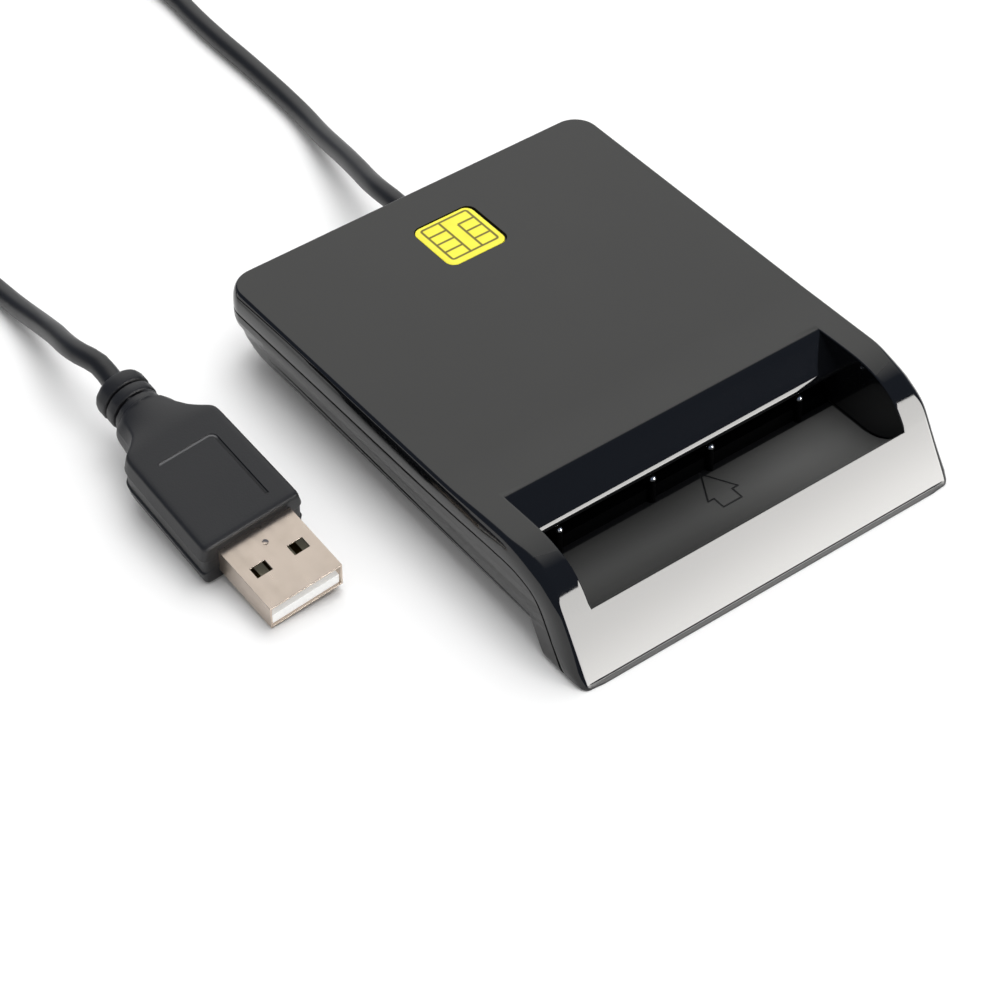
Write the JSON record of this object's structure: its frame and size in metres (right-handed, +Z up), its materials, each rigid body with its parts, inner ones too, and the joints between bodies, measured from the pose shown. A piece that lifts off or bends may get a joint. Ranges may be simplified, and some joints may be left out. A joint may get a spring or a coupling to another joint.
{
  "type": "smart card reader",
  "caption": "Desktop chip card reader: a flat case with a scooped front mouth over a card slot, sprung contact fingers on a circuit board, and a lead with a USB plug.",
  "frame": {"origin": "centre of the case's box at the table, the lead left out", "axes": "+Y from the card mouth to the lead, +Z up, +X to the right as seen from the mouth"},
  "size_m": [0.1176, 0.2001, 0.0154],
  "materials": {
    "cover": "satin",
    "tray": "matte, fine grain",
    "badge": "printed, gloss",
    "rubber": "matte",
    "screw": "zinc plated",
    "board": "solder mask",
    "connector": "moulded",
    "ivory": "moulded",
    "chip": "moulded",
    "tinned": "tinned",
    "can": "nickel plated",
    "capacitor": "ceramic",
    "wire_red": "insulation",
    "wire_white": "insulation",
    "wire_green": "insulation",
    "wire_black": "insulation",
    "cord": "satin jacket",
    "grip": "moulded, matte",
    "plug_metal": "nickel plated",
    "insulator": "moulded",
    "gold": "gold plated"
  },
  "bodies": {
    "reader": {"top_cover": "cover", "bottom_shell": "tray", "chip_badge": "badge", "foot_front_left": "rubber", "foot_front_right": "rubber", "foot_rear_left": "rubber", "foot_rear_right": "rubber", "case_screws": "screw", "circuit_board": "board", "board_screws": "screw", "card_connector": "connector", "switch_housing": "connector", "controller_chip": "chip", "chip_leads": "tinned", "clock_crystal": "can", "board_capacitors": "capacitor", "board_resistors": "chip", "wire_socket": "ivory", "wire_red": "wire_red", "wire_white": "wire_white", "wire_green": "wire_green", "wire_black": "wire_black", "cable_grommet": "cord", "cable_tail": "cord", "cord_to_coil": "cord", "cord_coil": "cord", "cord_to_plug": "cord", "plug_grip": "grip", "plug_shell": "plug_metal", "plug_insulator": "insulator", "plug_contacts": "gold"},
    "finger_c1": {"contact_c1": "gold"},
    "finger_c2": {"contact_c2": "gold"},
    "finger_c3": {"contact_c3": "gold"},
    "finger_c4": {"contact_c4": "gold"},
    "finger_c5": {"contact_c5": "gold"},
    "finger_c6": {"contact_c6": "gold"},
    "finger_c7": {"contact_c7": "gold"},
    "finger_c8": {"contact_c8": "gold"},
    "plunger": {"switch_plunger": "ivory"}
  },
  "joints": [
    {"name": "finger_c1_bend", "type": "hinge", "parent": "reader", "child": "finger_c1", "pos_m": [-0.00691, 0.00685, 0.00745], "axis": [-1, 0, 0], "range_deg": [0, 8], "stiffness_Nm_per_rad": 0.018},
    {"name": "finger_c2_bend", "type": "hinge", "parent": "reader", "child": "finger_c2", "pos_m": [-0.00437, 0.00685, 0.00745], "axis": [-1, 0, 0], "range_deg": [0, 8], "stiffness_Nm_per_rad": 0.018},
    {"name": "finger_c3_bend", "type": "hinge", "parent": "reader", "child": "finger_c3", "pos_m": [-0.00183, 0.00685, 0.00745], "axis": [-1, 0, 0], "range_deg": [0, 8], "stiffness_Nm_per_rad": 0.018},
    {"name": "finger_c4_bend", "type": "hinge", "parent": "reader", "child": "finger_c4", "pos_m": [0.00071, 0.00685, 0.00745], "axis": [-1, 0, 0], "range_deg": [0, 8], "stiffness_Nm_per_rad": 0.018},
    {"name": "finger_c5_bend", "type": "hinge", "parent": "reader", "child": "finger_c5", "pos_m": [-0.00691, -0.00077, 0.00745], "axis": [-1, 0, 0], "range_deg": [0, 8], "stiffness_Nm_per_rad": 0.018},
    {"name": "finger_c6_bend", "type": "hinge", "parent": "reader", "child": "finger_c6", "pos_m": [-0.00437, -0.00077, 0.00745], "axis": [-1, 0, 0], "range_deg": [0, 8], "stiffness_Nm_per_rad": 0.018},
    {"name": "finger_c7_bend", "type": "hinge", "parent": "reader", "child": "finger_c7", "pos_m": [-0.00183, -0.00077, 0.00745], "axis": [-1, 0, 0], "range_deg": [0, 8], "stiffness_Nm_per_rad": 0.018},
    {"name": "finger_c8_bend", "type": "hinge", "parent": "reader", "child": "finger_c8", "pos_m": [0.00071, -0.00077, 0.00745], "axis": [-1, 0, 0], "range_deg": [0, 8], "stiffness_Nm_per_rad": 0.018},
    {"name": "plunger_push", "type": "slide", "parent": "reader", "child": "plunger", "axis": [0, 1, 0], "range_m": [0, 0.0012], "stiffness_N_per_m": 120}
  ]
}
